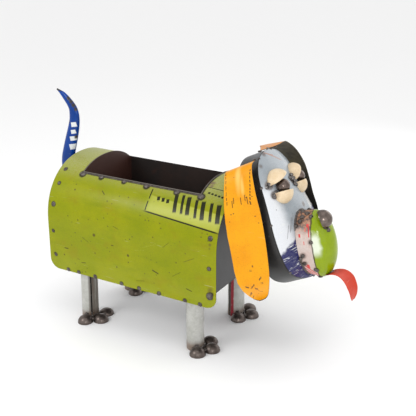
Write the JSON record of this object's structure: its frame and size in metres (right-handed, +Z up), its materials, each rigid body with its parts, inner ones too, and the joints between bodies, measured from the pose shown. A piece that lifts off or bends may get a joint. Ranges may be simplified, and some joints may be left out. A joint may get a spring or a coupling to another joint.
{
  "type": "scrap metal dog sculpture",
  "caption": "Standing long-eared dog welded from painted scrap sheet and tube, with an open planting tray in its back, domed muzzle and curved tail.",
  "frame": {"origin": "on the ground, under the middle of the whole figure", "axes": "+X is the way the dog faces, +Y its left side, +Z up"},
  "size_m": [0.7374, 0.3196, 0.4956],
  "materials": {
    "green_paint": "worn yellow-green paint, satin",
    "dark_plate": "dark grey sheet, satin",
    "liner_steel": "dark brown-black, dull",
    "galvanised_tube": "dull galvanised, rusty at the welds",
    "dark_dome": "dark polished steel",
    "blue_paint": "glossy blue, chipped",
    "face_paint": "worn pale grey-blue and white",
    "black_paint": "satin black",
    "orange_paint": "glossy orange outside, bare dark metal inside",
    "pale_paint": "off-white, burnt at the welds",
    "muzzle_paint": "glossy green with white edges",
    "coral_paint": "satin coral red",
    "cream_paint": "matt cream"
  },
  "bodies": {
    "root": {"body_sheet": "green_paint", "front_end_plate": "dark_plate", "rear_end_plate": "dark_plate", "bottom_tray": "dark_plate", "planter_liner": "liner_steel", "leg_rear_right": "galvanised_tube", "leg_front_right": "galvanised_tube", "leg_rear_left": "galvanised_tube", "leg_front_left": "galvanised_tube", "toe_rear_right_1": "dark_dome", "toe_rear_right_2": "dark_dome", "toe_rear_right_3": "dark_dome", "toe_front_right_1": "dark_dome", "toe_front_right_2": "dark_dome", "toe_front_right_3": "dark_dome", "toe_rear_left_1": "dark_dome", "toe_rear_left_2": "dark_dome", "toe_rear_left_3": "dark_dome", "toe_front_left_1": "dark_dome", "toe_front_left_2": "dark_dome", "toe_front_left_3": "dark_dome", "tail": "blue_paint", "face_plate": "face_paint", "head_band": "black_paint", "head_back_plate": "dark_plate", "neck": "dark_plate", "ear_right": "orange_paint", "ear_left": "orange_paint", "muzzle_band": "pale_paint", "muzzle_dome": "muzzle_paint", "nose": "dark_dome", "tongue": "coral_paint", "eyeball_right": "dark_dome", "upper_lid_right": "cream_paint", "lower_lid_right": "cream_paint", "eyeball_left": "dark_dome", "upper_lid_left": "cream_paint", "lower_lid_left": "cream_paint"}
  },
  "joints": []
}
